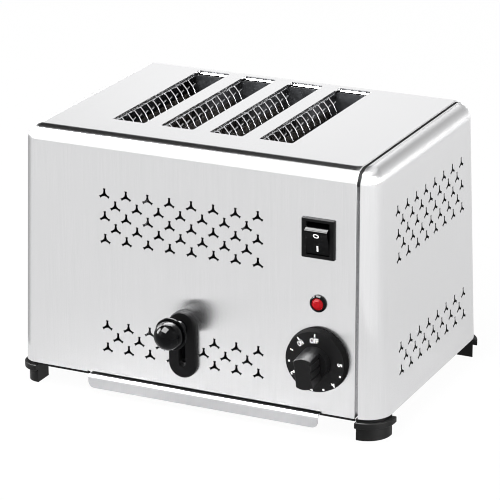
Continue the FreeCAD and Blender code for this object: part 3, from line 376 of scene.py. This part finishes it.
materials = {
    # stainless sheet, belt brushed: bright, with faint lines and reflections smeared sideways
    "brushed_shell": brushedSteel("brushedStainless", "DDDDDE", 0.2, 0.95),
    # stainless sheet as rolled, half brushed: an even satin grey
    "tray_steel": brushedSteel("satinTraySteel", "B6B6B8", 0.32, 0.5),
    # zinc coated sheet, painted dark grey: painted shade for the inside of the slots
    "galvanised_sheet": millSheet("slotShadeMillSheet", "3E3F41", 0.45),
    # zinc plate on screws and rods: pale and slightly cloudy
    "zinc_screw": millSheet("zincPlate", "B8B9BA", 0.3),
    # drawn stainless wire: thin bright lines
    "bright_wire": millSheet("brightDrawnWire", "C8C8CA", 0.2, 0.05),
    # turned brass: warm and soft
    "brass_bush": millSheet("turnedBrass", "D9B777", 0.3),
    # laminated iron: dull dark grey
    "dark_iron": millSheet("darkIron", "3A3A3C", 0.5),
    # moulded polypropylene feet: black with a soft sheen
    "foot_plastic": mouldedPlastic("footPlastic", "0C0C0C", 0.42),
    # moulded nylon bezels: black and nearly matt
    "satin_black": mouldedPlastic("satinBlackPlastic", "0E0E0F", 0.4, shine=0.05),
    # moulded phenolic dial: black, grey where a lamp grazes it
    "knob_black": mouldedPlastic("knobPlastic", "0E0E0F", 0.36),
    # polished phenolic ball and switch paddle: deep black with sharp highlights
    "gloss_black": mouldedPlastic("glossBlackPlastic", "030304", 0.06, 3.0, 0.002, 0.09),
    # coloured polycarbonate lens: deep red, tone from its facets
    "red_lens": mouldedPlastic("redLens", "9A1118", 0.35, 3.0, 0.002, 0.03),
    # pressed mica board: dark brown grey and matt
    "mica_board": mouldedPlastic("pressedMica", "3A3733", 0.6),
    # oxidised chrome alloy ribbon: dull warm grey
    "heater_alloy": millSheet("oxidisedRibbon", "5A5450", 0.45),
    # moulded nylon terminal block: off-white
    "terminal_white": mouldedPlastic("terminalPlastic", "D8D5CE", 0.45, shine=0.5),
}
ventWallShade = millSheet("ventWallPaintedShade", "2A2A2B", 0.6)                         # the vents' cut walls, dull and dark: painted shade that keeps the vents black
dialSidePaintedShade = mouldedPlastic("dialSidePaintedShade", "0A0A0A", 0.6, shine=0.01)    # the dial's side, matt black with almost no reflection: painted shade
for node, obj in nodes.items():
    setMaterial(obj, materials[slotOf[node]])
print("materials made:", len(materials))

# Finishing: angles in degrees, merge distance in mm
finishing = {"merge": 0.002, "flat": 0.4, "roundFrom": 35, "sharpFrom": 32}


def roundEdges(bm, width, segments, wanted):
    # rounds the edges that wanted(edge, faceA, faceB) picks; width is in metres
    sharp = math.radians(finishing["roundFrom"])
    picked = []
    for edge in bm.edges:
        isSharp = len(edge.link_faces) == 2 and edge.calc_face_angle(0) > sharp
        if isSharp and wanted(edge, *edge.link_faces):
            picked.append(edge)
    if picked:
        bmesh.ops.bevel(bm, geom=picked, offset=width, offset_type="OFFSET", segments=segments,
                        profile=0.5, affect="EDGES", clamp_overlap=True, harden_normals=False)


def finishedCopy(node, body, sharpAngle=finishing["sharpFrom"], rounds=(), shadeFaces=None,
                 shadeMaterial=None):
    # the piece's own surface with its corners merged, chosen edges rounded, and flats kept flat
    mesh = nodes[node].data.copy()
    bm = bmesh.new()
    bm.from_mesh(mesh)
    bmesh.ops.remove_doubles(bm, verts=bm.verts, dist=finishing["merge"] * mm)
    if rounds:
        bmesh.ops.dissolve_limit(bm, angle_limit=math.radians(finishing["flat"]), verts=bm.verts,
                                 edges=bm.edges, delimit={"NORMAL"})
        for width, segments, wanted in rounds:
            roundEdges(bm, width * mm, segments, wanted)
    bm.to_mesh(mesh)
    bm.free()
    if mesh.has_custom_normals:
        mesh.attributes.remove(mesh.attributes["custom_normal"])
    mesh.polygons.foreach_set("use_smooth", np.ones(len(mesh.polygons), bool))
    mesh.set_sharp_from_angle(angle=math.radians(sharpAngle))
    obj = bpy.data.objects.new(node + "Finish", mesh)
    bpy.context.scene.collection.objects.link(obj)
    weight = obj.modifiers.new("faceWeight", "WEIGHTED_NORMAL")
    weight.keep_sharp = True
    weight.mode = "FACE_AREA"
    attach(obj, body)
    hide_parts(node)
    setMaterial(obj, materials[slotOf[node]])
    # faces picked here get a second, darker material: painted shade
    if shadeFaces:
        mesh.materials.append(shadeMaterial)
        mesh.polygons.foreach_set("material_index", shadeFaces(mesh).astype(np.int32))


def faceArrays(mesh):
    # each face's normal, and its middle in millimetres
    normals, centres = np.empty(len(mesh.polygons) * 3), np.empty(len(mesh.polygons) * 3)
    mesh.polygons.foreach_get("normal", normals)
    mesh.polygons.foreach_get("center", centres)
    return normals.reshape(-1, 3), centres.reshape(-1, 3) / mm


# Vents: the area that they lie in, and how square to the sheet their cut walls stand
vents = {"bend": 22.0, "low": 30.0, "high": 175.0, "left": -90.0, "right": 80.0, "endsFrom": 138.0,
         "wallFacing": 0.05, "endWallFacing": 0.08}


# the faces found here get the dark material: painted shade on the vent walls
def ventWalls(mesh):
    # the narrow walls of the vents: they stand across the front, back or end sheet, off its bends
    normals, centres = faceArrays(mesh)
    x, y, z = centres.T
    inHeight = (z > vents["low"]) & (z < vents["high"])
    inWidth = (x > vents["left"]) & (x < vents["right"])
    inDepth = (y > shellLow.y / mm + vents["bend"]) & (y < shellHigh.y / mm - vents["bend"])
    frontOrBack = (np.abs(normals[:, 1]) < vents["wallFacing"]) & inWidth & ~inDepth
    atEnd = (np.abs(normals[:, 0]) < vents["endWallFacing"]) & inDepth & (np.abs(x) > vents["endsFrom"])
    return (frontOrBack | atEnd) & inHeight


# Dial's side: the faces farther out than this that stand across its face; they get the matt copy, painted shade
dialSide = {"from": 22.5, "facing": 0.3}
knobLow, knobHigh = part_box("timer_knob")
knobX, knobZ = (knobLow.x + knobHigh.x) / 2, (knobLow.z + knobHigh.z) / 2


def dialSideFaces(mesh):
    normals, centres = faceArrays(mesh)
    away = np.hypot(centres[:, 0] - knobX / mm, centres[:, 2] - knobZ / mm)
    return (away > dialSide["from"]) & (np.abs(normals[:, 1]) < dialSide["facing"])


# Casing: its bottom edge and the cover's groove edge are rolled round. Lengths are in mm, and the other
# values are how much of a face's normal lies along its own direction, at least or at most.
casing = {"bottomRound": 1.0, "bottomReach": 1.5, "grooveRound": 0.7, "grooveNear": 0.05, "steps": 3,
          "tallFace": 8.0, "square": 0.9, "upright": 0.3, "skin": 0.4, "frontNear": 0.3}
# the cover's skin starts at its turned-in face, the lowest X of what lies in its front sheet
coverFrontY = coverLow.y + casing["frontNear"] * mm
coverSkinX = min(vert.co.x for vert in nodes["right_end_cover"].data.vertices if vert.co.y < coverFrontY)


def isBottomEdge(edge, faceA, faceB):
    # between the underside and a tall outside face
    if max(vert.co.z for vert in edge.verts) > shellLow.z + casing["bottomReach"] * mm:
        return False
    down, side = (faceA, faceB) if faceA.normal.z < faceB.normal.z else (faceB, faceA)
    heights = [vert.co.z for vert in side.verts]
    isTall = max(heights) - min(heights) > casing["tallFace"] * mm
    return down.normal.z < -casing["square"] and abs(side.normal.z) < casing["upright"] and isTall


def isCoverGroove(edge, faceA, faceB):
    # where the cover's skin turns in along the groove
    turned, skin = (faceA, faceB) if faceA.normal.x < faceB.normal.x else (faceB, faceA)
    middle = (edge.verts[0].co + edge.verts[1].co) / 2
    outwards = Vector((0, middle.y - (coverLow.y + coverHigh.y) / 2, middle.z - coverHigh.z / 2))
    isSkin = abs(skin.normal.x) < casing["skin"] and skin.normal.dot(outwards) > 0
    return turned.normal.x < -casing["square"] and isSkin and \
        abs(middle.x - coverSkinX) < casing["grooveNear"] * mm


# Paddle: its front edges are rounded where the front faces meet the slanted ends
paddle = {"round": 1.6, "steps": 5, "longEdge": 10.0, "outwards": 0.1, "slant": (0.5, 0.99)}


def isPaddleFront(edge, faceA, faceB):
    run = edge.verts[1].co - edge.verts[0].co
    slanted = faceA if abs(faceA.normal.z) > abs(faceB.normal.z) else faceB
    low, high = paddle["slant"]
    isSlanted = slanted.normal.y < -paddle["outwards"] and low < abs(slanted.normal.z) < high
    return abs(run.x) > paddle["longEdge"] * mm and isSlanted


def anyEdge(edge, faceA, faceB):
    return True


# What each piece gets: rounds are width in mm, steps and the edges that they take
bottomRounds = [(casing["bottomRound"], casing["steps"], isBottomEdge)]
grooveRounds = [(casing["grooveRound"], casing["steps"], isCoverGroove)]
ventShade = {"shadeFaces": ventWalls, "shadeMaterial": ventWallShade}
finishes = {
    "main_shell": {"rounds": bottomRounds, **ventShade},
    "right_end_cover": {"rounds": bottomRounds + grooveRounds, **ventShade},
    "crumb_tray": {"rounds": [(0.25, 2, anyEdge)]},
    "lever_escutcheon": {"rounds": [(0.3, 2, anyEdge)]},
    "rocker_housing": {},
    "rocker_paddle": {"rounds": [(paddle["round"], paddle["steps"], isPaddleFront)]},
    "timer_knob": {"rounds": [(0.35, 2, anyEdge)], "shadeFaces": dialSideFaces,
                   "shadeMaterial": dialSidePaintedShade},
    "lever_ball": {},
    "lamp_bezel": {},
    "lamp_lens": {"sharpAngle": 12},
    "cable_gland": {},
}
for corner in ("left_front", "left_rear", "right_front", "right_rear"):
    finishes["foot_" + corner] = {"rounds": [(0.3, 2, anyEdge)]}
for i in range(1, 5):
    finishes["bread_guard_" + str(i)] = {}
    finishes["bread_rack_" + str(i)] = {}

# Painted shade in mm: a black band down in the groove and a black strip under the front edge, dark pieces standing
# where there is only shade
shadeBands = {"bandDrop": 1.3, "bandClear": 0.02, "bend": 12.0, "bendSteps": 12, "stripIn": 0.7,
         "stripThick": 0.8, "stripDrop": 1.9, "stripTop": 0.05, "stripClear": 0.3}
paintedShadeBlack = mouldedPlastic("paintedShadeBlack", "060606", 0.7, shine=0.1)             # matt black: painted shade


def grooveSeal():
    # a black band in the groove: painted shade in the gap between shell and cover
    # a band over the top from bend to bend: centre + radius x (cos, sin), a quarter turn at each side
    drop = shadeBands["bandDrop"] * mm
    radius = shadeBands["bend"] * mm - drop
    frontY, backY, centreZ = panelY + drop + radius, shellHigh.y - drop - radius, topZ - drop - radius
    turns = np.linspace(0, math.pi / 2, shadeBands["bendSteps"] + 1)
    rise, run = radius * np.sin(turns), radius * np.cos(turns)
    frontBend = np.stack([frontY - run, centreZ + rise], 1)
    backBend = np.stack([backY + rise, centreZ + run], 1)
    path = np.concatenate([frontBend, backBend])
    clear = shadeBands["bandClear"] * mm
    verts = np.empty((len(path), 2, 3))
    verts[:, :, 0] = (shellHigh.x + clear, coverSkinX - clear)
    verts[:, :, 1:] = path[:, None]
    faces = [(2 * i, 2 * i + 1, 2 * i + 3, 2 * i + 2) for i in range(len(path) - 1)]
    makeObject("grooveSeal", verts.reshape(-1, 3), faces, "root", paintedShadeBlack)


def edgeStrip(name, x0, x1):
    # a black bar under the front: painted shade under the casing's bottom edge
    # a square bar from x0 to x1, just behind the panel and just under it
    y0 = panelY + shadeBands["stripIn"] * mm
    y1 = y0 + shadeBands["stripThick"] * mm
    z1 = shellLow.z - shadeBands["stripTop"] * mm
    z0 = z1 - shadeBands["stripDrop"] * mm
    verts = [(x, y, z) for x in (x0, x1) for y in (y0, y1) for z in (z0, z1)]
    faces = [(0, 1, 3, 2), (4, 6, 7, 5), (0, 4, 5, 1), (2, 3, 7, 6), (0, 2, 6, 4), (1, 5, 7, 3)]
    makeObject(name, verts, faces, "root", paintedShadeBlack)


grooveSeal()
stripClear = shadeBands["stripClear"] * mm
trayLow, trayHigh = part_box("crumb_tray")
edgeStrip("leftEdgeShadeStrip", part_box("foot_left_front")[1].x + stripClear, trayLow.x - stripClear)
edgeStrip("rightEdgeShadeStrip", trayHigh.x + stripClear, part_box("foot_right_front")[0].x - stripClear)
for node, finish in finishes.items():
    finishedCopy(node, bodyOf[node], **finish)
print("casing and rounded pieces finished:", len(finishes))


# Printed marks: letters from the built-in font, rings, bars and dots, laid flat on a face, all in mm
def glyphShape(words, height, width, weight):
    # outline of a word as flat triangles, scaled to this height and width and centred
    curve = bpy.data.curves.new("words", "FONT")
    curve.body = words
    curve.offset = weight
    obj = bpy.data.objects.new("words", curve)
    mesh = bpy.data.meshes.new_from_object(obj)
    verts = np.empty(len(mesh.vertices) * 3)
    mesh.vertices.foreach_get("co", verts)
    verts = verts.reshape(-1, 3)[:, :2]
    faces = [tuple(face.vertices) for face in mesh.polygons]
    bpy.data.objects.remove(obj)
    bpy.data.meshes.remove(mesh)
    low, high = verts.min(0), verts.max(0)
    return (verts - (low + high) / 2) / (high - low) * np.array((width, height)), faces


def barShape(width, height):
    corners = np.array([(-1, -1), (1, -1), (1, 1), (-1, 1)])
    return corners * (width / 2, height / 2), [(0, 1, 2, 3)]


def circlePoints(count):
    # (cos, sin) of turns evenly round
    turns = np.linspace(0, 2 * math.pi, count, endpoint=False)
    return np.stack([np.cos(turns), np.sin(turns)], 1)


def ringShape(outer, inner, count=40):
    # an oval ring; outer and inner are half width and half height
    circle = circlePoints(count)
    faces = [(i, (i + 1) % count, count + (i + 1) % count, count + i) for i in range(count)]
    return np.concatenate([circle * outer, circle * inner]), faces


def dotShape(radius, count=24):
    return circlePoints(count) * radius, [tuple(range(count))]


def placedShape(shape, across, up, origin):
    # each point = origin + across x its first value + up x its second
    verts, faces = shape
    return verts @ np.array((across, up)) + np.array(origin), faces


def joinedMarks(name, placed, body):
    # all the shapes as one white piece; each shape's faces count on from the points before it
    verts, faces, count = [], [], 0
    for shapeVerts, shapeFaces in placed:
        verts.append(shapeVerts)
        faces.extend(tuple(count + i for i in face) for face in shapeFaces)
        count += len(shapeVerts)
    makeObject(name, np.concatenate(verts), faces, body, whitePrint)


whitePrint = newMaterial("whitePrint", "FFFFFF", 0.5)[0]                 # pad-printed ink: flat white
printLift = 0.03 * mm
dial = {
    "faceOut": 6.6, "letters": (4.0, 2.3), "digits": (3.8, 2.5), "dot": 0.85, "tick": (0.9, 2.6),
    "weight": 0.03,
    # kind, angle anticlockwise from the top, distance from the middle, and what it says
    "marks": [("tick", 0, 20.6, ""), ("word", 1.5, 16.5, "OFF"), ("tick", 38.5, 20.9, ""),
              ("word", 41, 17.4, "ON"), ("tick", 69.5, 19.6, ""), ("dot", 96, 20.6, ""),
              ("digit", 122, 20.6, "2"), ("dot", 147, 20.9, ""), ("digit", 173.5, 20.9, "3"),
              ("dot", 199, 21.8, ""), ("digit", 224, 21.6, "4"), ("dot", 248, 21.8, ""),
              ("digit", 272, 20.0, "5")],
}


def dialMarks():
    # each mark stands upright towards the rim at its own angle
    middle = Vector((knobX, panelY - dial["faceOut"] * mm - printLift, knobZ))
    placed = []
    for kind, angle, distance, words in dial["marks"]:
        turn = math.radians(angle)
        up = Vector((-math.sin(turn), 0, math.cos(turn))) * mm
        across = Vector((math.cos(turn), 0, math.sin(turn))) * mm
        if kind == "tick":
            shape = barShape(*dial["tick"])
        elif kind == "dot":
            shape = dotShape(dial["dot"])
        else:
            high, wide = dial["letters"] if kind == "word" else dial["digits"]
            shape = glyphShape(words, high, wide * len(words), dial["weight"])
        placed.append(placedShape(shape, across, up, middle + up * distance))
    joinedMarks("dialMarks", placed, bodyOf["timer_knob"])


# Rocker's marks on its two front faces: a ring above for off and a bar below for on.
# The faces run from the vertex, out from the pivot, to an edge (out, up), and rest half a swing round.
rocker = {"ring": ((2.35, 2.0), (1.5, 1.15)), "ringUp": 5.6, "bar": (1.3, 4.4), "barUp": -5.2,
          "vertexOut": 7.5, "edge": (9.0, 9.4), "swing": 30.0}


def rockerMarks():
    pivot = Vector(next(joint["pos_m"] for joint in frame["joints"] if joint["name"] == "rocker_swing"))
    turn = Matrix.Rotation(math.radians(rocker["swing"] / 2), 3, "X")
    edgeOut, edgeUp = rocker["edge"]
    slope = (edgeOut - rocker["vertexOut"]) / edgeUp
    placed = []
    for shape, up, sign in ((ringShape(*rocker["ring"]), rocker["ringUp"], 1),
                            (barShape(*rocker["bar"]), rocker["barUp"], -1)):
        alongFace = Vector((0, -slope * sign, 1)).normalized()
        outwards = Vector((0, -1, -slope * sign)).normalized()
        spot = Vector((0, -(rocker["vertexOut"] + slope * abs(up)), up)) * mm + outwards * printLift
        across = Vector((1, 0, 0)) * mm
        placed.append(placedShape(shape, across, turn @ alongFace * mm, pivot + turn @ spot))
    joinedMarks("rockerMarks", placed, bodyOf["rocker_paddle"])


dialMarks()
rockerMarks()
print("dial and rocker marks printed")
